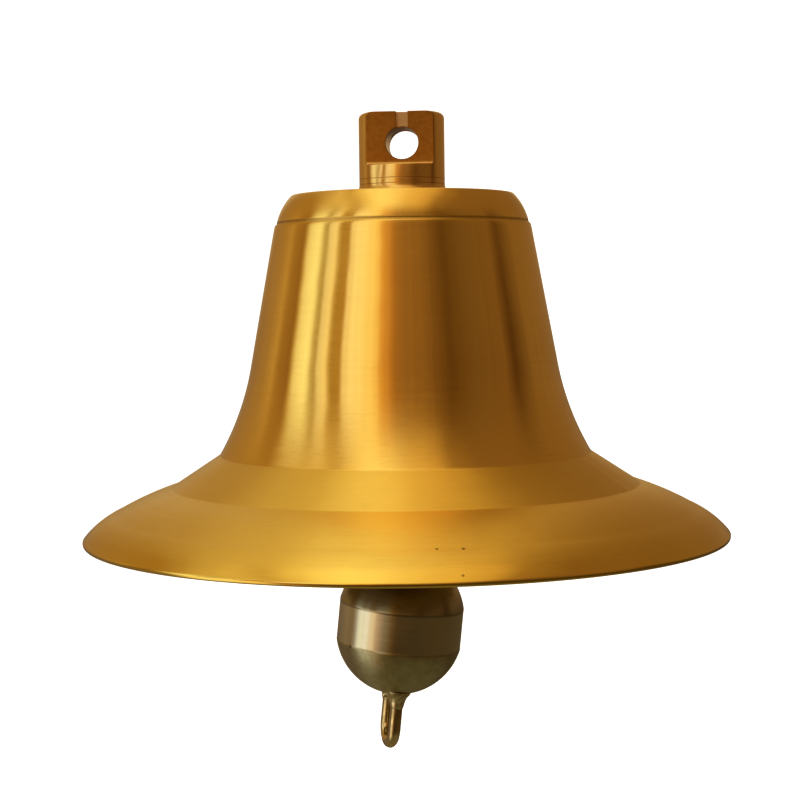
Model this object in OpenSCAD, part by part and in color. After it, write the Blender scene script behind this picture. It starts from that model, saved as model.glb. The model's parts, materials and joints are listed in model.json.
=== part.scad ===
// Ship bell, turned in brass, with a bolted-in crown lug and a swinging clapper.
// The origin is the centre of the hole that the bell hangs by. +Z is up, and the hole runs along Y.
// The bell's own axis is parallel to Z and stands a little to one side of the hole.

/* [Bell] */
// Outside diameter of the mouth
mouth_d = 300; // [297:1:304]
// Height of the hanging hole above the flat head
head_drop = 23.2; // [23:0.1:24]
// Thickness of the head
head_t = 8; // [6:0.5:9]
// Wall of the waist, measured level
waist_t = 8; // [7:0.5:9]
// Wall of the brim, measured upright
brim_t = 5.5; // [4.5:0.5:6]

/* [Crown lug] */
// Diameter of the turned lug
lug_d = 40; // [38:0.5:42]
// Thickness of the tongue between the two milled flats
tongue_t = 25; // [22:0.5:28]
// Diameter of the hanging hole
hole_d = 15; // [13:0.5:16]
// Distance of the hole from the bell's own axis
hole_offset = 1; // [0:0.1:1.5]
// Width of the upright groove above the hole
groove_w = 5.4; // [4:0.2:6]
// Depth of that groove
groove_depth = 4; // [2:0.5:5]

/* [Stud and nuts] */
// Diameter of the stud under the lug
stud_d = 16; // [14:1:16]
// Height of the crown nut
crown_nut_h = 8; // [7:0.5:8]
// Height of the lock nut
lock_nut_h = 4.5; // [4:0.5:5]
// Size of both nuts across their flats
nut_af = 24; // [23:0.5:26]

/* [Clapper] */
// Height of the clapper's pivot under the hanging hole
pivot_drop = 65; // [65:0.5:66]
// Diameter of the hanger pin
pin_d = 8; // [7:0.5:8]
// Diameter of the clapper rod
rod_d = 9; // [8:0.5:9]
// Height of the ball's top under the hanging hole
ball_drop = 191.5; // [190:0.5:193]
// Lean of the ball and rope eye on the rod, in degrees
ball_lean = 6.1; // [0:0.1:7]
// Radius of the ball's two rounded ends
ball_r = 30; // [29:0.5:30]
// Diameter of the turned belt
belt_d = 58.5; // [58:0.1:58.5]
// Height of the turned belt
belt_h = 17.4; // [14:0.2:18]
// Diameter of the bar that the rope eye is bent from
eye_bar_d = 5.8; // [5:0.2:6.4]
// Clear width inside the rope eye
eye_gap = 10.2; // [8:0.2:14]
// Reach of the rope eye under the ball
eye_reach = 26.3; // [22:0.1:30]
// Turn of the rope eye's plane away from the hanging hole's direction, in degrees
eye_turn = 18; // [0:1:90]

/* [Hidden] */
$fn = 96;

fit = 0.05;                    // radial clearance of a screwed or running fit
brass = "goldenrod";
bronze = "darkolivegreen";
steel = "silver";

// Heights, downwards from the hanging hole
lug_top = 14.5;
ledge = -10.1;
head_top = -head_drop;
head_under = head_top - head_t;
washer_t = 2.5;
crown_nut_top = head_under - washer_t;
lock_nut_top = crown_nut_top - crown_nut_h;
hanger_top = lock_nut_top - lock_nut_h;
pivot_z = -pivot_drop;
crease_1 = -143.5;             // foot of the flare
crease_2 = -158;               // top of the brim
lip_bottom = -182.4;

// Clapper hanger and the rod's eye
hanger_d = 26;
hanger_slot = 10;
side_gap = 0.3;                // gap on each side of the rod's eye
eye_head_r = 9;
eye_head_t = hanger_slot - 2 * side_gap;
slot_root = pivot_z + eye_head_r + 1;
stud_end = slot_root + 0.5;
pin_head_t = 2.5;
pin_washer_t = 1.4;
cotter_hole_d = 2.6;
cotter_wire_d = 1.1;
cotter_y = hanger_d / 2 + pin_washer_t + cotter_hole_d / 2 + 0.8;

// Ball, measured down its own axis from the rod's entry
cap_shift = 3.2;               // the rounded ends' centres stand this far from the ball's centre
ball_half = ball_r + cap_shift;
spotface_d = 19;
spotface_depth = 1.8;
thread_depth = 22;
rod_nut_h = 6;
rod_nut_af = 15;

// Rope eye
bend_r = (eye_gap + eye_bar_d) / 2;
leg_length = eye_reach - eye_bar_d / 2 - bend_r;
socket_depth = 7;
braze_r = 6.4;
braze_h = 5.6;

// Points along the circular arc from a to c that passes through b, without a itself.
function arc3(a, b, c, steps = 12) =
    let (d = 2 * (a.x * (b.y - c.y) + b.x * (c.y - a.y) + c.x * (a.y - b.y)),
         ux = ((a * a) * (b.y - c.y) + (b * b) * (c.y - a.y) + (c * c) * (a.y - b.y)) / d,
         uy = ((a * a) * (c.x - b.x) + (b * b) * (a.x - c.x) + (c * c) * (b.x - a.x)) / d,
         r = norm(a - [ux, uy]),
         start = atan2(a.y - uy, a.x - ux),
         sweep = atan2(c.y - uy, c.x - ux) - start,
         turn = sweep > 180 ? sweep - 360 : sweep < -180 ? sweep + 360 : sweep)
    [for (i = [1:steps]) [ux, uy] + r * [cos(start + turn * i / steps), sin(start + turn * i / steps)]];

// Round the bell's own axis.
module on_bell_axis() {
    translate([-hole_offset, 0, 0]) children();
}

// Down the ball's leaning axis: z = 0 is the rod's entry at the ball's top.
module on_ball_axis() {
    on_bell_axis() translate([0, 0, -ball_drop]) rotate([0, ball_lean, 0]) children();
}

// The rope eye's two legs, one after the other, round the ball's axis at the ball's bottom.
module at_each_leg() {
    for (side = [-1, 1])
        rotate([0, 0, eye_turn]) translate([0, side * bend_r, -2 * ball_half]) children();
}

// A hex nut with chamfered corners, standing on z = 0.
module hex_nut(across_flats, height, bore_d) {
    corner_r = across_flats / sqrt(3);
    bevel = (corner_r - across_flats / 2) / 2;
    difference() {
        intersection() {
            cylinder(r = corner_r, h = height, $fn = 6);
            rotate_extrude() polygon([
                [0, 0], [across_flats / 2, 0], [corner_r, bevel],
                [corner_r, height - bevel], [across_flats / 2, height], [0, height]]);
        }
        translate([0, 0, -1]) cylinder(d = bore_d, h = height + 2);
    }
}

// A flat ring standing on z = 0.
module washer(outer_d, inner_d, thickness) {
    difference() {
        cylinder(d = outer_d, h = thickness);
        translate([0, 0, -1]) cylinder(d = inner_d, h = thickness + 2);
    }
}

// Radius of the waist's outside at a height on its straight taper.
function waist_r(z) = 60.25 + (71.4 - 60.25) * (-39.7 - z) / (100.7 - 39.7);

// Outside of the bell from the head's edge to the lip.
function bell_outside() =
    let (lip_r = mouth_d / 2, shoulder_foot = [58.5, -35], flare_top = [71.4, -100.7],
         brim_middle = [lip_r - 14.6, -169.3], lip_top = [lip_r - 0.3, -180.2])
    concat(
        [[51.6, head_top], [52.2, head_top - 0.5]],
        arc3([52.2, head_top - 0.5], [56.1, -29.1], shoulder_foot, 8),
        // the small groove and the bevelled step under it
        [[58.75, -36], [58.45, -36.4], [59.55, -37.2], [59.8, -37.8], [waist_r(-39.7), -39.7]],
        [flare_top],
        arc3(flare_top, [77.7, -124.2], [86.8, crease_1], 14),
        [[109, crease_2]],
        arc3([109, crease_2], [121.9, -162.7], brim_middle, 7),
        arc3(brim_middle, [lip_r - 5.6, -174.9], lip_top, 8),
        [[lip_r, -180.8], [lip_r - 0.2, -182], [lip_r - 0.8, lip_bottom]]);

// Inside of the bell from the lip back up to the head.
function bell_inside() =
    let (throat = [82, -140 - brim_t], strike = [133, -171 - brim_t],
         waist_foot = [waist_r(-100) - waist_t + 1, -100], waist_top = [waist_r(-40) - waist_t, -40],
         head_corner = [45.5, head_under])
    concat(
        [[136, lip_bottom], [135, lip_bottom + 0.6]],
        arc3([135, lip_bottom + 0.6], [134.5, -179], strike, 4),
        arc3(strike, [108, -158.5 - brim_t], [88, -144.8 - brim_t], 10),
        arc3([88, -144.8 - brim_t], [84.6, -142.4 - brim_t], throat, 4),
        arc3(throat, [72.2, -124.2], waist_foot, 12),
        [waist_top],
        arc3(waist_top, [50.4, -33.4], head_corner, 6));

// The turned bell: one solid of revolution with a hole in its head for the stud.
module bell_body() {
    color(brass) on_bell_axis() difference() {
        rotate_extrude($fn = 180) polygon(concat(
            [[0, head_top]], bell_outside(), bell_inside(), [[0, head_under]]));
        translate([0, 0, head_under - 1]) cylinder(d = stud_d + 4 * fit, h = head_t + 2);
    }
}

// Outline of the lug, its flared foot and its stud, right of the axis.
function lug_outline() =
    let (r = lug_d / 2, edge = 2.6, foot = 3.7, land = 0.8, relief = 0.8)
    concat(
        [[0, lug_top], [r - edge, lug_top]],
        arc3([r - edge, lug_top], [r - edge + edge * sin(45), lug_top - edge + edge * cos(45)],
             [r, lug_top - edge], 5),
        [[r, head_top + land + foot]],
        arc3([r, head_top + land + foot], [r + foot - foot * sin(45), head_top + land + foot - foot * sin(45)],
             [r + foot, head_top + land], 6),
        [[r + foot + land, head_top + land], [r + foot + land, head_top],
         [stud_d / 2, head_top], [stud_d / 2, stud_end + relief], [stud_d / 2 - relief, stud_end],
         [0, stud_end]]);

// The space beside one flat, with the cutter's fillet along its foot.
module flat_cut() {
    fillet = 1.9;
    depth = lug_d / 2 - tongue_t / 2 + 1;
    rotate([90, 0, 0]) rotate([0, 90, 0]) linear_extrude(height = lug_d + 2, center = true)
        polygon(concat(
            [[tongue_t / 2, lug_top + 1], [tongue_t / 2, ledge + fillet]],
            arc3([tongue_t / 2, ledge + fillet],
                 [tongue_t / 2 + fillet * (1 - cos(45)), ledge + fillet * (1 - sin(45))],
                 [tongue_t / 2 + fillet, ledge], 5),
            [[tongue_t / 2 + depth, ledge], [tongue_t / 2 + depth, lug_top + 1]]));
}

// The lug with its two flats, cross hole and groove, in one piece with the stud.
module crown_lug() {
    color(brass) difference() {
        on_bell_axis() difference() {
            rotate_extrude() polygon(lug_outline());
            for (side = [0, 1]) mirror([0, side, 0]) flat_cut();
        }
        rotate([90, 0, 0]) cylinder(d = hole_d, h = tongue_t + 4, center = true);
        translate([-groove_w / 2, -tongue_t / 2 - 1, 0])
            cube([groove_w, groove_depth + 1, lug_top + 1]);
    }
}

module head_washer() {
    color(brass) on_bell_axis() translate([0, 0, crown_nut_top]) washer(38, stud_d + 1, washer_t);
}

module crown_nut() {
    color(brass) on_bell_axis() translate([0, 0, lock_nut_top])
        rotate([0, 0, 12]) hex_nut(nut_af, crown_nut_h, stud_d + 2 * fit);
}

module lock_nut() {
    color(brass) on_bell_axis() translate([0, 0, hanger_top])
        rotate([0, 0, 33]) hex_nut(nut_af, lock_nut_h, stud_d + 2 * fit);
}

// The fork on the stud: a turned bar, slotted from below and bored across for the hinge pin.
module clapper_hanger() {
    tip = pivot_z - eye_head_r;
    bevel = 1.2;
    r = hanger_d / 2;
    color(brass) on_bell_axis() difference() {
        rotate_extrude() polygon([
            [0, hanger_top], [r - bevel, hanger_top], [r, hanger_top - bevel],
            [r, tip + bevel], [r - bevel, tip], [0, tip]]);
        translate([0, 0, slot_root]) cylinder(d = stud_d + 2 * fit, h = hanger_top - slot_root + 1);
        translate([-r - 1, -hanger_slot / 2, tip - 1]) cube([hanger_d + 2, hanger_slot, slot_root - tip + 1]);
        translate([0, 0, pivot_z]) rotate([90, 0, 0])
            cylinder(d = pin_d + 2 * fit, h = hanger_d + 2, center = true);
    }
}

// The hinge pin: a turned head at the front, a cross hole for the split pin at the back.
module hanger_pin() {
    front = -hanger_d / 2 - pin_head_t;
    back = cotter_y + 3;
    bevel = 0.8;
    color(bronze) on_bell_axis() translate([0, 0, pivot_z]) difference() {
        rotate([-90, 0, 0]) rotate_extrude() polygon([
            [0, front], [5.6, front], [6.2, front + 0.6], [6.2, front + pin_head_t],
            [pin_d / 2, front + pin_head_t], [pin_d / 2, back - bevel], [pin_d / 2 - bevel, back], [0, back]]);
        translate([0, cotter_y, 0]) cylinder(d = cotter_hole_d, h = pin_d + 2, center = true);
    }
}

module pin_washer() {
    color(bronze) on_bell_axis() translate([0, hanger_d / 2, pivot_z]) rotate([-90, 0, 0])
        washer(15, pin_d + 0.4, pin_washer_t);
}

// One tail of the split pin, bent aside under the hanger pin.
module split_pin_tail(from_z) {
    tail = 4.2;
    bend_angle = 58;
    translate([cotter_wire_d / 2, 0, from_z]) {
        sphere(d = cotter_wire_d, $fn = 24);
        rotate([0, 180 - bend_angle, 0]) cylinder(d = cotter_wire_d, h = tail, $fn = 24);
    }
}

// The split pin: a ring, a shank through the hanger pin and two tails bent apart.
module split_pin() {
    ring_r = 1.9;
    reach = pin_d / 2 + 0.8;
    color(steel) on_bell_axis() translate([0, cotter_y, pivot_z]) {
        translate([0, 0, -reach]) cylinder(d = 2 * cotter_wire_d, h = 2 * reach, $fn = 32);
        for (side = [0, 1]) mirror([side, 0, 0]) split_pin_tail(-reach);
        translate([0, 0, reach + ring_r]) rotate([90, 0, 0])
            rotate_extrude($fn = 48) translate([ring_r, 0]) circle(d = cotter_wire_d, $fn = 24);
    }
}

// The clapper rod: a flat eye on the hinge pin, a round shank, and a thread that runs into the ball.
module clapper_rod() {
    thread_end = -ball_drop - thread_depth;
    neck = 16;
    color(bronze) on_bell_axis() difference() {
        union() {
            translate([0, 0, pivot_z]) rotate([90, 0, 0])
                cylinder(r = eye_head_r, h = eye_head_t, center = true);
            // the shoulder that draws the eye in to the shank
            translate([0, 0, pivot_z - neck]) intersection() {
                translate([-eye_head_r, -eye_head_t / 2, 0]) cube([2 * eye_head_r, eye_head_t, neck]);
                cylinder(d1 = rod_d, d2 = 2 * eye_head_r * 0.93, h = neck - 2);
            }
            translate([0, 0, thread_end]) cylinder(d = rod_d, h = pivot_z - thread_end - eye_head_r / 2);
        }
        translate([0, 0, pivot_z]) rotate([90, 0, 0])
            cylinder(d = pin_d + 2 * fit, h = eye_head_t + 2, center = true);
    }
}

module ball_lock_nut() {
    color(bronze) on_bell_axis() translate([0, 0, -ball_drop - spotface_depth])
        rotate([0, 0, 20]) hex_nut(rod_nut_af, rod_nut_h, rod_d + 2 * fit);
}

// Outline of the ball right of its axis: two rounded ends and the turned belt between them.
function ball_outline() =
    let (rim_z = belt_h / 2,
         rim_r = sqrt(ball_r * ball_r - pow(rim_z - cap_shift, 2)),
         middle = ball_r * [sin(38), cos(38)] + [0, cap_shift])
    concat(
        [[0, ball_half]],
        arc3([0, ball_half], middle, [rim_r, rim_z + 0.2], 12),
        [[belt_d / 2, rim_z], [belt_d / 2, -rim_z], [rim_r, -rim_z - 0.2]],
        arc3([rim_r, -rim_z - 0.2], [middle.x, -middle.y], [0, -ball_half], 12));

module ball_solid() {
    translate([0, 0, -ball_half]) rotate_extrude($fn = 120) polygon(ball_outline());
}

// The cast ball, bored and spotfaced square to the upright rod, with a socket for each leg of the rope eye.
module clapper_ball() {
    color(bronze) difference() {
        on_ball_axis() ball_solid();
        on_bell_axis() translate([0, 0, -ball_drop - thread_depth - 1])
            cylinder(d = rod_d + 2 * fit, h = thread_depth + 5);
        on_bell_axis() translate([0, 0, -ball_drop - spotface_depth])
            cylinder(d = spotface_d, h = spotface_depth + 5);
        on_ball_axis() at_each_leg() cylinder(d = eye_bar_d + 2 * fit, h = socket_depth + fit);
    }
}

// The rope eye: a U of round bar with its two legs let into the ball.
module rope_eye() {
    color(bronze) on_ball_axis() {
        at_each_leg() translate([0, 0, -leg_length]) cylinder(d = eye_bar_d, h = leg_length + socket_depth);
        translate([0, 0, -2 * ball_half - leg_length]) rotate([0, 0, eye_turn])
            rotate([90, 0, 90]) rotate([0, 0, 180])
                rotate_extrude(angle = 180) translate([bend_r, 0]) circle(d = eye_bar_d, $fn = 48);
    }
}

// Braze metal: a flared fillet round each leg, joined by a low web between them.
module eye_braze() {
    leg_r = eye_bar_d / 2;
    root_z = 2.6;              // the ball's underside has curved up this far beside the legs
    flare = concat(
        [[leg_r + fit, -braze_h], [leg_r + 0.5, -braze_h]],
        arc3([leg_r + 0.5, -braze_h], [leg_r + 1.1, -braze_h / 2], [braze_r, root_z - 0.5], 7),
        [[braze_r, root_z], [leg_r + fit, root_z]]);
    color(bronze) on_ball_axis() difference() {
        union() {
            at_each_leg() rotate_extrude($fn = 64) polygon(flare);
            rotate([0, 0, eye_turn]) translate([-2.6, -bend_r + leg_r + 0.6, -2 * ball_half - 1.6])
                cube([5.2, 2 * (bend_r - leg_r - 0.6), 3]);
        }
        translate([0, 0, -fit]) ball_solid();
        at_each_leg() translate([0, 0, -braze_h - 1]) cylinder(r = leg_r + fit, h = braze_h + 8);
    }
}

bell_body();
crown_lug();
head_washer();
crown_nut();
lock_nut();
clapper_hanger();
hanger_pin();
pin_washer();
split_pin();
clapper_rod();
ball_lock_nut();
clapper_ball();
rope_eye();
eye_braze();
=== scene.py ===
"""Ship bell in a plain studio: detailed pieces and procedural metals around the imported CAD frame.

Outlines are in millimetres, as the part's own drawing is, and are scaled to metres when a mesh is made.
"""

import json
import math
import random
from collections import namedtuple

import bmesh
import bpy
from mathutils import Matrix, Vector, noise


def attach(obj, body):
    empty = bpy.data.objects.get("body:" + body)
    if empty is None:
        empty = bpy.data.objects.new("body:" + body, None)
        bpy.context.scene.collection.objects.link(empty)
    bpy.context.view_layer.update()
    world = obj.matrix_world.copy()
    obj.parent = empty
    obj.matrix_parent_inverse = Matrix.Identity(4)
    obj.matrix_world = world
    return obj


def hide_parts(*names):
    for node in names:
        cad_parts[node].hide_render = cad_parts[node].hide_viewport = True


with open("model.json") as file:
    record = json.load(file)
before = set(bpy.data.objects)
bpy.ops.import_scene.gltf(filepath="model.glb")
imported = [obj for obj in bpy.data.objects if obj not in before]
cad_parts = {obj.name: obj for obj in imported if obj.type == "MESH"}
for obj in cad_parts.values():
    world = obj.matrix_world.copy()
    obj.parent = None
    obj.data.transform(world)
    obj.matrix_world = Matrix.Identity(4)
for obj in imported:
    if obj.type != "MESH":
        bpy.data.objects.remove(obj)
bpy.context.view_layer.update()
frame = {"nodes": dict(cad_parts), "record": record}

MM = 0.001
RNG = random.Random(7)

# The bell, in millimetres from the hanging hole's centre. A pair is a radius and a height.
AXIS_X = -1.0
MOUTH_R = 150.0
STUD_HOLE_R = 8.1
HEAD_TOP = -23.2
HEAD_UNDER = -31.2
GROOVE_Z = -36.4
WAIST_TOP = (60.25, -39.7)
WAIST_FOOT = (71.4, -100.7)
UPPER_CREASE = (86.8, -143.5)
LOWER_CREASE = (109.0, -158.0)
LIP_BOTTOM = -182.4
WAIST_WALL = 8.0
BRIM_WALL = 5.5

# The lug on its head
HOLE_R = 7.5
TONGUE_HALF = 12.5
LEDGE = -10.1
STEM_LINES = (-16.2, -18.7)

# The ball, which is a straight belt between two caps, each with its own centre CAP_SHIFT from the ball's
BALL_TOP = -191.5
BALL_LEAN = math.radians(6.1)
BALL_R = 30.0
CAP_SHIFT = 3.2
BELT_R = 29.25
BELT_HALF = 8.7

# The rope eye, whose legs go into the ball
EYE_BAR_R = 2.9
EYE_BEND_R = 8.0
EYE_REACH = 26.3
EYE_IN_BALL = 5.0
EYE_TURN = math.radians(18)
BRAZE_LUMPS = 26

# The studio
CAMERA_BEARING = math.radians(4.25)
SWEEP_R = 9000
FLOOR_Z = -1650


# ---------------------------------------------------------------- outlines

def arc3(a, b, c, steps):
    """Points along the circular arc from a to c through b, without a itself."""
    (ax, ay), (bx, by), (cx, cy) = a, b, c
    d = 2 * (ax * (by - cy) + bx * (cy - ay) + cx * (ay - by))
    aa, bb, cc = ax * ax + ay * ay, bx * bx + by * by, cx * cx + cy * cy
    ux = (aa * (by - cy) + bb * (cy - ay) + cc * (ay - by)) / d
    uy = (aa * (cx - bx) + bb * (ax - cx) + cc * (bx - ax)) / d
    r = math.hypot(ax - ux, ay - uy)
    start = math.atan2(ay - uy, ax - ux)
    sweep = (math.atan2(cy - uy, cx - ux) - start + math.pi) % (2 * math.pi) - math.pi
    return [(ux + r * math.cos(start + sweep * i / steps), uy + r * math.sin(start + sweep * i / steps))
            for i in range(1, steps + 1)]


def soften(points, radius, sharpest=math.radians(9)):
    """The outline with each corner that turns by more than sharpest cut by a small curve."""
    out = [points[0]]
    for before, corner, after in zip(points, points[1:], points[2:]):
        p, q, s = Vector(before), Vector(corner), Vector(after)
        if (q - p).angle(s - q) < sharpest:
            out.append(corner)
            continue
        reach_in = min(radius, 0.42 * (q - p).length)
        reach_out = min(radius, 0.42 * (s - q).length)
        a, b = q + (p - q).normalized() * reach_in, q + (s - q).normalized() * reach_out
        for t in (0, 0.25, 0.5, 0.75, 1):
            out.append(tuple(a.lerp(q, t).lerp(q.lerp(b, t), t)))
    out.append(points[-1])
    return out


def waist_r(z):
    """Radius of the waist's outside on its straight taper."""
    (top_r, top_z), (foot_r, foot_z) = WAIST_TOP, WAIST_FOOT
    return top_r + (foot_r - top_r) * (top_z - z) / (top_z - foot_z)


def bell_outside():
    """The bell's outer face, from the head's flat down to the underside of the lip."""
    head_edge, shoulder_foot = (52.2, HEAD_TOP - 0.5), (58.5, -35.0)
    groove = [(58.75, -36.0), (58.6, GROOVE_Z), (59.55, -37.2), (59.8, -37.8)]
    brim_middle, lip_top = (MOUTH_R - 14.6, -169.3), (MOUTH_R - 0.3, -180.2)
    lip = [(MOUTH_R, -180.8), (MOUTH_R - 0.2, -182.0), (MOUTH_R - 0.8, LIP_BOTTOM)]
    return ([(51.6, HEAD_TOP), head_edge] + arc3(head_edge, (56.1, -29.1), shoulder_foot, 16)
            + groove + [WAIST_TOP, WAIST_FOOT] + arc3(WAIST_FOOT, (77.7, -124.2), UPPER_CREASE, 30)
            + [LOWER_CREASE] + arc3(LOWER_CREASE, (121.9, -162.7), brim_middle, 14)
            + arc3(brim_middle, (MOUTH_R - 5.6, -174.9), lip_top, 16) + lip)


def bell_inside():
    """The wall's inner face, from the lip up to the underside of the head."""
    lip_in, strike = (135.0, LIP_BOTTOM + 0.6), (133.0, -171.0 - BRIM_WALL)
    brim_in, throat = (88.0, -144.8 - BRIM_WALL), (82.0, -140.0 - BRIM_WALL)
    waist_foot, waist_top = (waist_r(-100) - WAIST_WALL + 1, -100.0), (waist_r(-40) - WAIST_WALL, -40.0)
    return ([(136.0, LIP_BOTTOM), lip_in] + arc3(lip_in, (134.5, -179.0), strike, 8)
            + arc3(strike, (108.0, -158.5 - BRIM_WALL), brim_in, 20)
            + arc3(brim_in, (84.6, -142.4 - BRIM_WALL), throat, 8)
            + arc3(throat, (72.2, -124.2), waist_foot, 24)
            + [waist_top] + arc3(waist_top, (50.4, -33.4), (45.5, HEAD_UNDER), 12))


# ---------------------------------------------------------------- meshes

def new_object(name, bm, location=(0, 0, 0), rotation=None):
    """An object from a bmesh in millimetres, placed in the row frame in metres."""
    bmesh.ops.scale(bm, vec=(MM, MM, MM), verts=bm.verts)
    bmesh.ops.recalc_face_normals(bm, faces=bm.faces)
    mesh = bpy.data.meshes.new(name)
    bm.to_mesh(mesh)
    bm.free()
    mesh.shade_smooth()
    obj = bpy.data.objects.new(name, mesh)
    bpy.context.scene.collection.objects.link(obj)
    matrix = rotation.to_4x4() if rotation else Matrix()
    obj.matrix_world = Matrix.Translation(Vector(location) * MM) @ matrix
    return obj


def revolve(bm, outline, segments, closed, axis_y=0.0):
    """Turns (radius, height) points round an upright axis. A point on the axis becomes a pole."""
    rings = []
    for r, z in outline:
        if r < 1e-6:
            rings.append([bm.verts.new((0, axis_y, z))])
        else:
            rings.append([bm.verts.new((r * math.cos(a), axis_y + r * math.sin(a), z))
                          for a in (2 * math.pi * i / segments for i in range(segments))])
    pairs = list(zip(rings, rings[1:]))
    if closed:
        pairs.append((rings[-1], rings[0]))
    for upper, lower in pairs:
        for i in range(segments):
            j = (i + 1) % segments
            above, below = [upper[k % len(upper)] for k in (i, j)], [lower[k % len(lower)] for k in (j, i)]
            face = list(dict.fromkeys(above + below))
            if len(face) > 2:
                bm.faces.new(face)


def tube(bm, path, radii, sides):
    """A round bar with flat ends, along a path in the YZ plane with a radius at each point."""
    across = Vector((1, 0, 0))
    rings = []
    for i, (point, radius) in enumerate(zip(path, radii)):
        ahead = path[min(i + 1, len(path) - 1)] - path[max(i - 1, 0)]
        up = ahead.normalized().cross(across).normalized()
        rings.append([bm.verts.new(point + radius * (math.cos(a) * across + math.sin(a) * up))
                      for a in (2 * math.pi * k / sides for k in range(sides))])
    for first, second in zip(rings, rings[1:]):
        for k in range(sides):
            bm.faces.new((first[k], first[(k + 1) % sides], second[(k + 1) % sides], second[k]))
    bm.faces.new(rings[0])
    bm.faces.new(rings[-1])


def eased_copy(node, width, angle=28):
    """A CAD node's own mesh with its flat faces joined up and its edges eased by a real bevel."""
    source = frame["nodes"][node]
    bm = bmesh.new()
    bm.from_mesh(source.data)
    bm.transform(source.matrix_world)
    bmesh.ops.remove_doubles(bm, verts=bm.verts, dist=2e-6)
    bmesh.ops.dissolve_limit(bm, angle_limit=math.radians(0.4), verts=bm.verts, edges=bm.edges)
    bmesh.ops.scale(bm, vec=(1 / MM,) * 3, verts=bm.verts)
    obj = new_object(node + "_eased", bm)
    bevel = obj.modifiers.new("ease", "BEVEL")
    bevel.limit_method = "ANGLE"
    bevel.angle_limit = math.radians(angle)
    bevel.width = width * MM
    bevel.segments = 3
    bevel.use_clamp_overlap = True
    bevel.harden_normals = True
    obj.data.set_sharp_from_angle(angle=math.radians(angle))
    return obj


# ---------------------------------------------------------------- materials

class Nodes:
    """Short calls for building the node tree of a material or a world."""

    def __init__(self, owner):
        owner.use_nodes = True
        self.owner = owner
        self.tree = owner.node_tree
        self.shader = self.tree.nodes.get("Principled BSDF")

    def add(self, kind, **settings):
        node = self.tree.nodes.new(kind)
        for key, value in settings.items():
            setattr(node, key, value)
        return node

    def link(self, source, target):
        self.tree.links.new(source, target)

    def feed(self, name, value):
        """Links a value into one of the shader's inputs."""
        self.link(value, self.shader.inputs[name])

    def fed(self, name):
        """The value that one of the shader's inputs has been linked to."""
        return self.shader.inputs[name].links[0].from_socket

    def vector(self, *values):
        node = self.add("ShaderNodeCombineXYZ")
        for value, socket in zip(values, node.inputs):
            self.link(value, socket)
        return node.outputs[0]

    def split(self, vector):
        node = self.add("ShaderNodeSeparateXYZ")
        self.link(vector, node.inputs[0])
        return node.outputs

    def math(self, operation, a, b=None, c=None):
        node = self.add("ShaderNodeMath", operation=operation)
        for socket, value in zip(node.inputs, (a, b, c)):
            if hasattr(value, "is_output"):
                self.link(value, socket)
            elif value is not None:
                socket.default_value = value
        return node.outputs[0]

    def hypot(self, a, b):
        """The square root of a squared plus b squared."""
        return self.math("SQRT", self.math("ADD", self.math("MULTIPLY", a, a), self.math("MULTIPLY", b, b)))

    def scale_range(self, value, low, high, to_low=0.0, to_high=1.0, smooth=False):
        """Brings a value from the range low to high into the range to_low to to_high, and holds it there."""
        node = self.add("ShaderNodeMapRange", interpolation_type="SMOOTHSTEP" if smooth else "LINEAR")
        self.link(value, node.inputs["Value"])
        for key, number in (("From Min", low), ("From Max", high), ("To Min", to_low), ("To Max", to_high)):
            node.inputs[key].default_value = number
        return node.outputs["Result"]

    def mix(self, factor, a, b, blend="MIX"):
        node = self.add("ShaderNodeMix", data_type="RGBA", blend_type=blend, clamp_factor=True)
        for socket, value in ((node.inputs[0], factor), (node.inputs[6], a), (node.inputs[7], b)):
            if hasattr(value, "is_output"):
                self.link(value, socket)
            elif isinstance(value, tuple):
                socket.default_value = value + (1.0,)
            else:
                socket.default_value = value
        return node.outputs[2]

    def noise(self, vector, scale, detail=3.0, rough=0.55):
        """Soft noise from 0 to 1. The scale is in features to the metre."""
        node = self.add("ShaderNodeTexNoise")
        node.inputs["Scale"].default_value = scale
        node.inputs["Detail"].default_value = detail
        node.inputs["Roughness"].default_value = rough
        self.link(vector, node.inputs["Vector"])
        return node.outputs["Fac"]

    def spots(self, vector, scale, size, share):
        """A mask of small round spots, of that size in a cell. Only a share of the cells hold one."""
        node = self.add("ShaderNodeTexVoronoi")
        node.inputs["Scale"].default_value = scale
        self.link(vector, node.inputs["Vector"])
        near = self.scale_range(node.outputs["Distance"], size, size * 0.45, smooth=True)
        parts = self.add("ShaderNodeSeparateColor")
        self.link(node.outputs["Color"], parts.inputs[0])
        chosen = self.math("LESS_THAN", parts.outputs[0], share)
        return self.math("MULTIPLY", near, chosen)

    def bump(self, height, strength, distance, normal=None):
        """A normal that leans with the height, on top of an earlier normal. The distance is in metres."""
        node = self.add("ShaderNodeBump")
        node.inputs["Strength"].default_value = strength
        node.inputs["Distance"].default_value = distance
        self.link(height, node.inputs["Height"])
        if normal is not None:
            self.link(normal, node.inputs["Normal"])
        return node.outputs["Normal"]


Turned = namedtuple("Turned", "where around x y z radius turn")


def turned_coordinates(n, axis_offset=0.0):
    """Position round the lathe's axis, which stands at x = -axis_offset.

    A noise over around runs in rings, because around hardly changes along a turning line.
    """
    moved = n.add("ShaderNodeVectorMath", operation="ADD")
    n.link(n.add("ShaderNodeTexCoord").outputs["Object"], moved.inputs[0])
    moved.inputs[1].default_value = (axis_offset, 0, 0)
    where = moved.outputs[0]
    x, y, z = n.split(where)
    radius = n.hypot(x, y)
    turn = n.math("ARCTAN2", x, n.math("MULTIPLY", y, -1.0))
    around = n.vector(radius, n.math("MULTIPLY", turn, 0.0006), z)
    return Turned(where, around, x, y, z, radius, turn)


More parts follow.
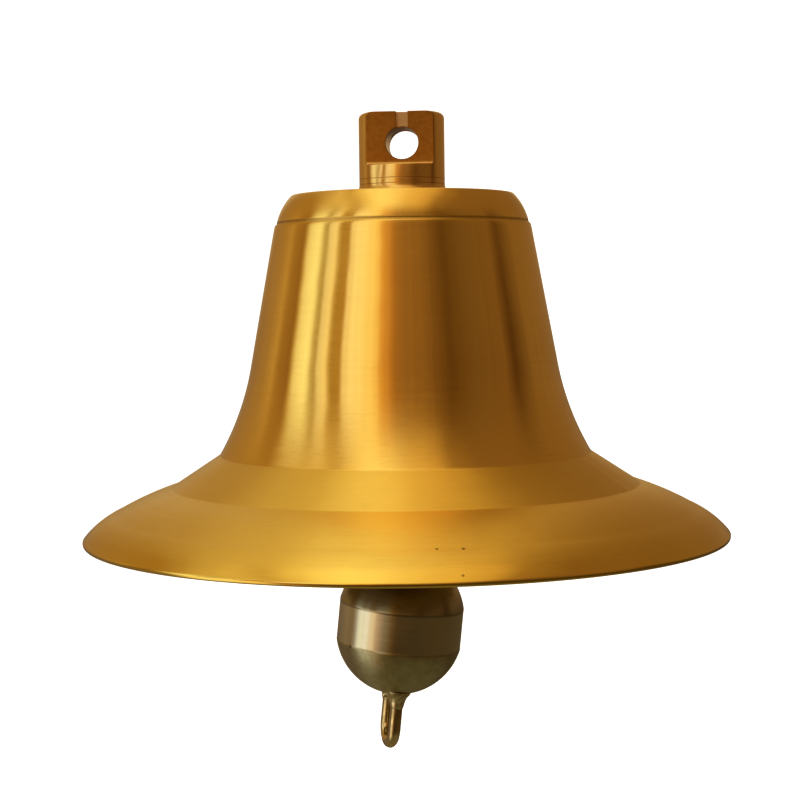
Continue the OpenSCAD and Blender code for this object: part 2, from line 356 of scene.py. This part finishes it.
def line_at(n, z, height, half_width):
    """A mask of one line round the axis at a height in millimetres."""
    off = n.math("ABSOLUTE", n.math("SUBTRACT", z, height * MM))
    return n.scale_range(off, half_width * MM, half_width * 0.4 * MM, smooth=True)


PIT_DARK = (0.05, 0.03, 0.012)


def turned_metal(name, light, deep, stain, roughness, anisotropy, line_bump, axis_offset=0.0, pits=0.006):
    """Lathe-turned metal: fine rings, slow colour drift, a few pits, and brighter edges that are partly wear
    and partly a painted highlight.
    """
    n = Nodes(bpy.data.materials.new(name))
    at = turned_coordinates(n, axis_offset)
    fine = n.noise(at.around, 2600, 4, 0.6)
    coarse = n.noise(at.around, 420, 3, 0.5)
    drift = n.noise(at.where, 14, 3, 0.5)
    cloud = n.noise(at.where, 60, 4, 0.6)
    rings = n.math("ADD", n.math("MULTIPLY", fine, 0.6), n.math("MULTIPLY", coarse, 0.4))
    colour = n.mix(n.math("MULTIPLY", n.scale_range(drift, 0.35, 0.65, smooth=True), 0.5), light, deep)
    colour = n.mix(n.math("MULTIPLY", n.scale_range(rings, 0.55, 0.72), 0.25), colour, deep)
    colour = n.mix(n.math("MULTIPLY", n.scale_range(cloud, 0.58, 0.8, smooth=True), 0.15), colour, stain)
    pit = n.spots(at.where, 95, 0.095, pits)
    colour = n.mix(n.math("MULTIPLY", pit, 0.8), colour, PIT_DARK)
    # Convex edges and creases are painted lighter: partly rubbed wear, partly a painted highlight along them.
    wear_and_highlight = n.scale_range(n.add("ShaderNodeNewGeometry").outputs["Pointiness"], 0.51, 0.56)
    worn_and_highlit = tuple(min(1.0, c * 1.12 + 0.03) for c in light)
    n.feed("Base Color", n.mix(n.math("MULTIPLY", wear_and_highlight, 0.5), colour, worn_and_highlit))
    n.feed("Roughness", n.math("ADD", n.scale_range(rings, 0.35, 0.65, roughness - 0.03, roughness + 0.04),
                               n.scale_range(cloud, 0.4, 0.7, -0.01, 0.02)))
    height = n.math("SUBTRACT", rings, n.math("MULTIPLY", pit, 0.9))
    n.feed("Normal", n.bump(height, line_bump, 0.00003))
    n.shader.inputs["Metallic"].default_value = 1.0
    n.shader.inputs["Anisotropic"].default_value = anisotropy
    n.shader.inputs["Anisotropic Rotation"].default_value = 0.25
    n.feed("Tangent", n.add("ShaderNodeTangent", direction_type="RADIAL", axis="Z").outputs[0])
    return n, at


GOLD = (0.93, 0.60, 0.13)
GOLD_DEEP = (0.88, 0.54, 0.11)
GOLD_STAIN = (0.72, 0.42, 0.09)
GOLD_ARC = (0.62, 0.36, 0.07)
BRIM_GOLD = (0.91, 0.61, 0.11)
BRIM_GOLD_DEEP = (0.84, 0.53, 0.085)


def bell_brass(name, light, deep, roughness, anisotropy, arc_strength, pits):
    """Fine-turned brass, a little uneven all over, with short darker arcs where the tool marks are deeper."""
    n, at = turned_metal(name, light, deep, GOLD_STAIN, roughness, anisotropy, 0.06, pits=pits)
    rolled_lip = n.scale_range(at.radius, (MOUTH_R - 7) * MM, (MOUTH_R - 2) * MM, smooth=True)
    duller = n.math("MULTIPLY", line_at(n, at.z, GROOVE_Z, 1.2), 0.35)
    shinier = n.math("MULTIPLY", rolled_lip, 0.17)
    n.feed("Roughness", n.math("SUBTRACT", n.math("ADD", n.fed("Roughness"), duller), shinier))
    along_arcs = n.vector(at.radius, n.math("MULTIPLY", at.turn, 0.009), at.z)
    arcs = n.scale_range(n.noise(along_arcs, 1300, 3, 0.6), 0.56, 0.70)
    arcs = n.math("MULTIPLY", arcs, n.scale_range(at.z, -85 * MM, -125 * MM, 0.25, 1.0))
    n.feed("Base Color", n.mix(n.math("MULTIPLY", arcs, arc_strength), n.fed("Base Color"), GOLD_ARC))
    normal = n.bump(arcs, arc_strength * 0.4, 0.00003, n.fed("Normal"))
    n.feed("Normal", n.bump(n.noise(at.where, 24, 2), 1.0, 0.0003, normal))
    return n.owner


def bell_inner_brass():
    """Coarser and browner turned brass for the bell's inside."""
    n, _ = turned_metal("bell_inner_brass", (0.60, 0.38, 0.11), (0.48, 0.29, 0.08), (0.27, 0.17, 0.06),
                        0.34, 0.7, 0.25, pits=0.02)
    return n.owner


def fitting_brass():
    """Plain machined brass for the washer, the nuts and the hanger."""
    n, _ = turned_metal("fitting_brass", (0.74, 0.52, 0.22), (0.62, 0.42, 0.16), (0.36, 0.24, 0.10),
                        0.34, 0.4, 0.3, axis_offset=-AXIS_X * MM)
    return n.owner


def dull_bronze():
    """Dulled turned bronze for the rod and the pin."""
    n, _ = turned_metal("dull_bronze", (0.42, 0.32, 0.16), (0.33, 0.24, 0.11), (0.17, 0.13, 0.07),
                        0.36, 0.4, 0.3, axis_offset=-AXIS_X * MM)
    return n.owner


def lug_masks(n, at):
    """(flats, groove, hole wall shade, stem lines): where the lug's machined faces and its turned lines are,
    and the wall of its hole, where shade is painted.
    """
    depth = n.math("ABSOLUTE", at.y)
    at_flat = n.math("MULTIPLY", n.scale_range(depth, (TONGUE_HALF - 0.5) * MM, (TONGUE_HALF - 0.3) * MM),
                     n.scale_range(depth, (TONGUE_HALF + 0.6) * MM, (TONGUE_HALF + 0.2) * MM))
    flats = n.math("MULTIPLY", at_flat, n.scale_range(at.z, (LEDGE + 0.2) * MM, (LEDGE + 1.2) * MM))
    hole_x = -AXIS_X * MM
    off_middle = n.math("ABSOLUTE", n.math("SUBTRACT", at.x, hole_x))
    front_top = n.math("MULTIPLY", n.scale_range(at.y, -8.0 * MM, -8.2 * MM),
                       n.scale_range(at.z, 5.5 * MM, 6.0 * MM))
    groove = n.math("MULTIPLY", n.scale_range(off_middle, 2.75 * MM, 2.65 * MM), front_top)
    # The hole's wall, which gets painted shade.
    hole_wall_shade = n.scale_range(n.hypot(off_middle, at.z), (HOLE_R + 0.5) * MM, (HOLE_R + 0.1) * MM)
    stem_lines = n.math("MAXIMUM", *(line_at(n, at.z, height, 0.22) for height in STEM_LINES))
    return flats, groove, hole_wall_shade, stem_lines


def lug_brass():
    """The turned lug, with browner milled metal on its flats, a fresh cut in the groove and painted shade on
    the wall of its hole.
    """
    n, at = turned_metal("lug_brass", (0.88, 0.55, 0.16), (0.76, 0.44, 0.11), (0.52, 0.30, 0.09),
                         0.20, 0.9, 0.10, axis_offset=-AXIS_X * MM)
    flats, groove, hole_wall_shade, stem_lines = lug_masks(n, at)
    mill = n.noise(at.where, 500, 4, 0.6)
    dents = n.spots(at.where, 420, 0.24, 0.06)
    stretched = n.add("ShaderNodeVectorMath", operation="MULTIPLY")
    n.link(at.where, stretched.inputs[0])
    stretched.inputs[1].default_value = (120, 900, 2600)
    scratch = n.noise(stretched.outputs[0], 1.0, 3, 0.6)
    milled = n.mix(n.scale_range(mill, 0.35, 0.7, smooth=True), (0.53, 0.235, 0.040), (0.44, 0.185, 0.032))
    milled = n.mix(n.math("MULTIPLY", dents, 0.6), milled, (0.22, 0.09, 0.02))
    colour = n.mix(flats, n.fed("Base Color"), milled)
    colour = n.mix(groove, colour, n.mix(scratch, (0.92, 0.66, 0.40), (0.80, 0.54, 0.30)))
    # Painted shade: the hole's wall is coloured dark brown.
    colour = n.mix(hole_wall_shade, colour, (0.34, 0.14, 0.03))
    n.feed("Base Color", n.mix(n.math("MULTIPLY", stem_lines, 0.6), colour, (0.20, 0.09, 0.02)))
    duller = n.math("MULTIPLY", n.math("MAXIMUM", flats, groove), 0.2)
    n.feed("Roughness", n.math("ADD", n.fed("Roughness"), duller))
    height = n.math("SUBTRACT", n.math("MULTIPLY", scratch, 0.5), dents)
    height = n.math("SUBTRACT", n.math("MULTIPLY", height, flats), stem_lines)
    n.feed("Normal", n.bump(height, 0.4, 0.0001, n.fed("Normal")))
    return n.owner


def ball_bronze():
    """Cast bronze, dull on the caps, with the upper cap painted darker and browner towards its top as shade
    under the bell, a polished belt and nicks at its lower edge.
    """
    n, at = turned_metal("ball_bronze", (0.80, 0.72, 0.47), (0.68, 0.58, 0.34), (0.40, 0.32, 0.17),
                         0.19, 0.85, 0.12, pits=0.03)
    off_belt = n.scale_range(n.math("ABSOLUTE", at.z), (BELT_HALF - 0.3) * MM, (BELT_HALF + 0.3) * MM)
    cast = n.noise(at.where, 260, 5, 0.65)
    cap_cast_and_shade = n.mix(n.scale_range(cast, 0.38, 0.66, smooth=True), (0.50, 0.44, 0.24), (0.42, 0.36, 0.18))
    # Painted shade: the upper cap darkens towards its top, under the bell's mouth.
    cap_cast_and_shade = n.mix(n.scale_range(at.z, 0.0, BELT_HALF * MM, 0.0, 0.55), cap_cast_and_shade, (0.30, 0.23, 0.14))
    colour = n.mix(off_belt, n.fed("Base Color"), cap_cast_and_shade)
    from_edge = n.math("ABSOLUTE", n.math("ADD", at.z, BELT_HALF * MM))
    at_edge = n.scale_range(from_edge, 2.2 * MM, 0.8 * MM)
    nicks = n.math("MULTIPLY", at_edge, n.spots(at.where, 230, 0.34, 0.10))
    n.feed("Base Color", n.mix(n.math("MULTIPLY", nicks, 0.85), colour, (0.03, 0.022, 0.01)))
    duller = n.scale_range(at.z, 0.0, -BELT_HALF * MM, 0.05, 0.13)
    n.feed("Roughness", n.math("ADD", n.fed("Roughness"), n.math("MULTIPLY", off_belt, duller)))
    relief = n.math("SUBTRACT", n.math("MULTIPLY", cast, off_belt), nicks)
    n.feed("Normal", n.bump(relief, 0.10, 0.0002, n.fed("Normal")))
    return n.owner


def drawn_metal(name, light, dark, roughness, bump):
    """Smooth bar, wire or braze metal with small stains and dents."""
    n = Nodes(bpy.data.materials.new(name))
    where = n.add("ShaderNodeTexCoord").outputs["Object"]
    cloud = n.noise(where, 220, 4, 0.6)
    grain = n.math("MULTIPLY", n.noise(where, 1500, 3, 0.6), 0.4)
    n.feed("Base Color", n.mix(n.scale_range(cloud, 0.38, 0.66, smooth=True), light, dark))
    n.feed("Roughness", n.scale_range(cloud, 0.35, 0.7, roughness - 0.06, roughness + 0.1))
    n.feed("Normal", n.bump(n.math("ADD", cloud, grain), bump, 0.0002))
    n.shader.inputs["Metallic"].default_value = 1.0
    return n.owner


# ---------------------------------------------------------------- pieces

def place(obj, body, slot, *nodes):
    """obj rides on a body and stands for the given CAD nodes, which it hides. The slot is not used."""
    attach(obj, body)
    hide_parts(*nodes)


def make_bell():
    """The bell in one shell: a polished waist, a satin band and brim, and a duller inside."""
    bm = bmesh.new()
    outline = [(STUD_HOLE_R, HEAD_TOP)] + bell_outside() + bell_inside() + [(STUD_HOLE_R, HEAD_UNDER)]
    revolve(bm, soften(outline, 0.5), 384, closed=True)
    bell = new_object("bell_shell", bm, (AXIS_X, 0, 0))
    waist_metal = bell_brass("waist_brass", GOLD, GOLD_DEEP, 0.135, 1.0, arc_strength=0.25, pits=0.012)
    brim_metal = bell_brass("brim_brass", BRIM_GOLD, BRIM_GOLD_DEEP, 0.32, 0.75, arc_strength=0.15, pits=0.05)
    for metal in (waist_metal, brim_metal, bell_inner_brass()):
        bell.data.materials.append(metal)
    waist, brim, inside = range(3)
    for face in bell.data.polygons:
        middle = face.center
        outward = face.normal.dot(Vector((middle.x, middle.y, 0)).normalized())
        underneath = face.normal.z < 0 and middle.z > (LIP_BOTTOM + 2) * MM
        if outward < -0.1 or underneath:
            face.material_index = inside
        elif middle.z < UPPER_CREASE[1] * MM:
            face.material_index = brim
        else:
            face.material_index = waist
    place(bell, "bell", "bell_brass", "bell_body")


def make_ball():
    """The ball. Gives back the distance from its centre to its top, and its centre and lean."""
    rim_z = BELT_HALF + 0.9
    rim_r = math.sqrt(BALL_R ** 2 - (rim_z - CAP_SHIFT) ** 2)
    top = BALL_R + CAP_SHIFT
    partway = math.radians(38)
    cap_middle = (BALL_R * math.sin(partway), BALL_R * math.cos(partway) + CAP_SHIFT)
    upper = [(0, top)] + arc3((0, top), cap_middle, (rim_r, rim_z), 36) + [(BELT_R, BELT_HALF)]
    belt = [(BELT_R, BELT_HALF * (1 - k / 6)) for k in range(1, 12)]
    lower = [(r, -z) for r, z in reversed(upper)]
    bm = bmesh.new()
    revolve(bm, soften(upper + belt + lower, 0.4, math.radians(2)), 220, closed=False)
    lean = Matrix.Rotation(BALL_LEAN, 3, "Y")
    centre = Vector((AXIS_X, 0, BALL_TOP)) + lean @ Vector((0, 0, -top))
    ball = new_object("striking_ball", bm, centre, lean)
    ball.data.materials.append(ball_bronze())
    place(ball, "clapper", "ball_bronze", "clapper_ball")
    return top, centre, lean


def make_rope_eye(foot, turned):
    """A U of round bar, from one leg's end inside the ball round to the other's."""
    leg = EYE_REACH - EYE_BAR_R - EYE_BEND_R
    steps = [(EYE_IN_BALL + leg) * k / 14 for k in range(15)]
    path = [Vector((0, -EYE_BEND_R, EYE_IN_BALL - step)) for step in steps]
    path += [Vector((0, -EYE_BEND_R * math.cos(a), -leg - EYE_BEND_R * math.sin(a)))
             for a in (math.pi * k / 28 for k in range(1, 28))]
    path += [Vector((0, EYE_BEND_R, -leg + step)) for step in steps]
    radii = [EYE_BAR_R - 0.02 - 0.12 * abs(noise.noise(p * 0.35)) for p in path]
    bm = bmesh.new()
    tube(bm, path, radii, 28)
    bm.transform(turned)
    eye = new_object("rope_eye_bar", bm, foot)
    eye.data.materials.append(drawn_metal("eye_bronze", (0.78, 0.60, 0.28), (0.55, 0.41, 0.17), 0.17, 0.12))
    place(eye, "clapper", "eye_bronze", "rope_eye")


def make_braze(foot, turned):
    """Flared braze round both legs, with run-down lumps, fused by a fine remesh."""
    bm = bmesh.new()
    flare = [(2.0, 3.4), (6.4, 3.2), (5.7, 1.4), (4.5, 0.0),
             (3.7, -2.0), (3.3, -4.2), (3.0, -5.4), (2.0, -5.5)]
    for side in (-1, 1):
        revolve(bm, flare, 40, closed=True, axis_y=side * EYE_BEND_R)
    for _ in range(BRAZE_LUMPS):
        along = RNG.uniform(-10.5, 10.5)
        across = RNG.choice((-1, 1)) * RNG.uniform(1.2, 3.6)
        drop = RNG.uniform(-1.8, 0.9)
        bmesh.ops.create_icosphere(bm, subdivisions=2, radius=RNG.uniform(0.9, 1.7),
                                   matrix=Matrix.Translation((across, along, drop)))
    bm.transform(turned)
    braze = new_object("eye_braze_fillet", bm, foot)
    remesh = braze.modifiers.new("fuse", "REMESH")
    remesh.mode = "VOXEL"
    remesh.voxel_size = 0.32 * MM
    remesh.use_smooth_shade = True
    smooth = braze.modifiers.new("melt", "SMOOTH")
    smooth.factor = 0.6
    smooth.iterations = 5
    metal = drawn_metal("braze_metal", (0.80, 0.66, 0.34), (0.36, 0.27, 0.12), 0.20, 0.6)
    braze.data.materials.append(metal)
    place(braze, "clapper", "braze_metal", "eye_braze")


def make_clapper_end():
    """The ball, and under it the rope eye and its braze, which lean with it."""
    top, centre, lean = make_ball()
    foot = centre + lean @ Vector((0, 0, -top))
    turned = (lean @ Matrix.Rotation(EYE_TURN, 3, "Z")).to_4x4()
    make_rope_eye(foot, turned)
    make_braze(foot, turned)


def make_fittings():
    """The lug and the hidden fittings: the CAD shapes with eased edges."""
    brass, bronze, lug = fitting_brass(), dull_bronze(), lug_brass()
    steel = drawn_metal("split_pin_steel", (0.62, 0.61, 0.58), (0.42, 0.41, 0.38), 0.3, 0.15)
    for node, width, material in (
            ("crown_lug", 0.35, lug), ("head_washer", 0.3, brass), ("crown_nut", 0.25, brass),
            ("lock_nut", 0.25, brass), ("clapper_hanger", 0.3, brass), ("hanger_pin", 0.2, bronze),
            ("pin_washer", 0.2, bronze), ("split_pin", 0.05, steel), ("clapper_rod", 0.3, bronze),
            ("ball_lock_nut", 0.2, bronze)):
        piece = eased_copy(node, width)
        piece.data.materials.clear()
        piece.data.materials.append(material)
        body = "clapper" if node in ("clapper_rod", "ball_lock_nut") else "bell"
        slot = next(s["material_slot"] for s in frame["record"]["subparts"] if s["node"] == node)
        place(piece, body, slot, node)


# ---------------------------------------------------------------- studio

# Light that the room sends towards the bell, as (where, colour). The first two run round the room: where is
# the bearing in degrees, 0 at the room's front, growing to the right. The third runs from left to right
# overhead, from -1 to 1.
ROOM_AT_EYE_LEVEL = (
    (-180, (0.33, 0.20, 0.09)), (-145, (0.34, 0.21, 0.09)), (-128, (0.42, 0.28, 0.13)),
    (-114, (0.56, 0.39, 0.17)), (-110, (0.39, 0.24, 0.09)), (-97, (0.29, 0.16, 0.06)),
    (-94, (0.54, 0.40, 0.18)), (-91, (1.00, 1.00, 0.94)), (-86, (1.16, 1.26, 1.30)),
    (-77, (1.16, 1.26, 1.26)), (-74, (0.56, 0.50, 0.34)), (-70, (0.46, 0.39, 0.20)),
    (-68, (1.02, 1.02, 1.15)), (-61, (1.06, 1.02, 1.00)), (-59, (0.56, 0.42, 0.16)),
    (-56, (0.44, 0.29, 0.11)), (-49, (0.45, 0.28, 0.08)), (-47, (1.10, 1.06, 1.10)),
    (-38, (1.20, 1.18, 1.16)), (-25, (1.12, 0.98, 0.66)), (-20, (1.06, 0.76, 0.40)),
    (-18, (0.80, 0.46, 0.16)), (-11, (0.60, 0.30, 0.10)), (-9, (0.43, 0.21, 0.07)),
    (0, (0.31, 0.165, 0.07)), (15, (0.26, 0.14, 0.06)), (34, (0.12, 0.06, 0.02)),
    (56, (0.19, 0.11, 0.05)), (80, (0.21, 0.115, 0.05)), (91, (0.08, 0.035, 0.015)),
    (110, (0.25, 0.15, 0.07)), (180, (0.33, 0.20, 0.09)))
ROOM_BELOW = (
    (-180, (0.13, 0.09, 0.06)), (-100, (0.22, 0.16, 0.11)), (-90, (0.26, 0.19, 0.14)),
    (-84, (0.90, 0.86, 0.80)), (-76, (1.20, 1.20, 1.15)), (-66, (1.15, 1.12, 1.10)),
    (-59, (1.12, 0.98, 0.84)), (-51, (1.10, 0.86, 0.62)), (-47, (0.55, 0.33, 0.16)),
    (-38, (0.30, 0.15, 0.06)), (-30, (0.11, 0.06, 0.025)), (-10, (0.04, 0.024, 0.01)),
    (40, (0.06, 0.04, 0.018)), (60, (0.065, 0.04, 0.015)), (180, (0.09, 0.065, 0.035)))
ROOM_OVERHEAD = (
    (-1.0, (0.42, 0.26, 0.09)), (-0.62, (0.80, 0.66, 0.40)), (-0.50, (0.66, 0.50, 0.25)),
    (-0.40, (0.92, 0.76, 0.44)), (-0.30, (1.14, 1.04, 0.74)), (-0.20, (1.20, 1.14, 0.86)),
    (-0.10, (1.16, 1.06, 0.76)), (0.0, (1.06, 0.88, 0.56)), (0.10, (0.94, 0.72, 0.38)),
    (0.20, (0.88, 0.64, 0.30)), (0.32, (0.70, 0.47, 0.20)), (0.42, (0.38, 0.23, 0.09)),
    (0.6, (0.25, 0.14, 0.06)), (1.0, (0.23, 0.13, 0.055)))
ROOM_BACK = (0.28, 0.165, 0.055)
ROOM_FLOOR = (0.17, 0.145, 0.075)


def ramp(n, value, stops, low, high):
    """A colour ramp over value, which runs from low to high."""
    node = n.add("ShaderNodeValToRGB")
    elements = node.color_ramp.elements
    while len(elements) > 1:
        elements.remove(elements[-1])
    for i, (where, colour) in enumerate(stops):
        at = (where - low) / (high - low)
        element = elements[0] if i == 0 else elements.new(at)
        element.position = at
        element.color = colour + (1,)
    n.link(n.scale_range(value, low, high), node.inputs[0])
    return node.outputs[0]


def make_room_light(front):
    """A warm room with tall soft panels on the left, as light from all round rather than as lamps."""
    world = bpy.data.worlds.new("studio")
    bpy.context.scene.world = world
    n = Nodes(world)
    x, y, z = n.split(n.add("ShaderNodeTexCoord").outputs["Generated"])
    bearing = n.math("ARCTAN2", x, n.math("MULTIPLY", y, -1.0))
    from_front = n.math("SUBTRACT", n.math("MULTIPLY", bearing, 180 / math.pi), math.degrees(front))
    from_front = n.math("WRAP", from_front, 180, -180)
    clutter = n.scale_range(n.noise(n.vector(from_front), 0.28, 4, 0.7), 0.3, 0.7, 0.80, 1.16)
    level = n.mix(1.0, ramp(n, from_front, ROOM_AT_EYE_LEVEL, -180, 180), clutter, "MULTIPLY")
    below = ramp(n, from_front, ROOM_BELOW, -180, 180)
    behind = n.math("MAXIMUM", y, 0.0)
    sideways = n.math("MULTIPLY", x, n.math("ADD", n.math("MULTIPLY", behind, 1.2), 1.0))
    above = n.mix(n.math("MULTIPLY", behind, 0.42), ramp(n, sideways, ROOM_OVERHEAD, -1, 1), ROOM_BACK)
    ground = n.mix(n.scale_range(z, -0.40, -0.85, smooth=True), below, ROOM_FLOOR)
    walls = n.mix(n.scale_range(z, -0.14, 0.12, smooth=True), ground, level)
    height = n.math("ADD", z, n.math("MULTIPLY", y, 0.35))
    room = n.mix(n.scale_range(height, 0.22, 0.66, smooth=True), walls, above)
    n.link(room, n.tree.nodes["Background"].inputs[0])


def glowing_paper(name):
    """Matt pale paper that glows a little, so that it reads as a clean, evenly lit studio sweep."""
    n = Nodes(bpy.data.materials.new(name))
    where = n.add("ShaderNodeTexCoord").outputs["Object"]
    n.feed("Base Color", n.mix(n.noise(where, 1.4, 2), (0.93, 0.925, 0.92), (0.91, 0.905, 0.90)))
    n.shader.inputs["Roughness"].default_value = 0.9
    n.shader.inputs["Emission Color"].default_value = (1.0, 1.0, 1.0, 1)
    n.shader.inputs["Emission Strength"].default_value = 1.0
    return n.owner


def make_studio():
    """The room's light, and a pale floor and backdrop that neither shade the bell nor show in its metal."""
    make_room_light(front=CAMERA_BEARING)
    bm = bmesh.new()
    bmesh.ops.create_circle(bm, cap_ends=True, segments=96, radius=SWEEP_R)
    floor = new_object("floor", bm, (0, 0, FLOOR_Z))
    floor.data.materials.append(glowing_paper("floor_paint"))
    bm = bmesh.new()
    bmesh.ops.create_uvsphere(bm, u_segments=64, v_segments=32, radius=SWEEP_R)
    wall = new_object("backdrop", bm)
    wall.data.materials.append(glowing_paper("backdrop_paper"))
    for sweep in (floor, wall):
        sweep.visible_glossy = False
        sweep.visible_diffuse = False
        sweep.visible_shadow = False


def make_camera():
    """The viewpoint: a long lens 0.8 m in front, turned 4 degrees to the right and looking 2 degrees down."""
    distance, pitch = 0.792, math.radians(2.106)
    # The bell hangs a little out of plumb, and stands upright here, so the camera is rolled instead
    roll = math.radians(-0.725)
    data = bpy.data.cameras.new("camera")
    data.sensor_width = 36
    data.lens = 76.05
    data.shift_y = -0.05
    camera = bpy.data.objects.new("camera", data)
    bpy.context.scene.collection.objects.link(camera)
    sideways, back = math.sin(CAMERA_BEARING), math.cos(CAMERA_BEARING)
    camera.location = (-0.00305 + distance * sideways, -distance * back, -0.0713)
    turn, tilt = Matrix.Rotation(CAMERA_BEARING, 3, "Z"), Matrix.Rotation(math.pi / 2 - pitch, 3, "X")
    camera.rotation_euler = (turn @ tilt @ Matrix.Rotation(roll, 3, "Z")).to_euler()
    bpy.context.scene.camera = camera


make_bell()
make_clapper_end()
make_fittings()
make_studio()
make_camera()
bpy.context.scene.view_settings.view_transform = "Standard"
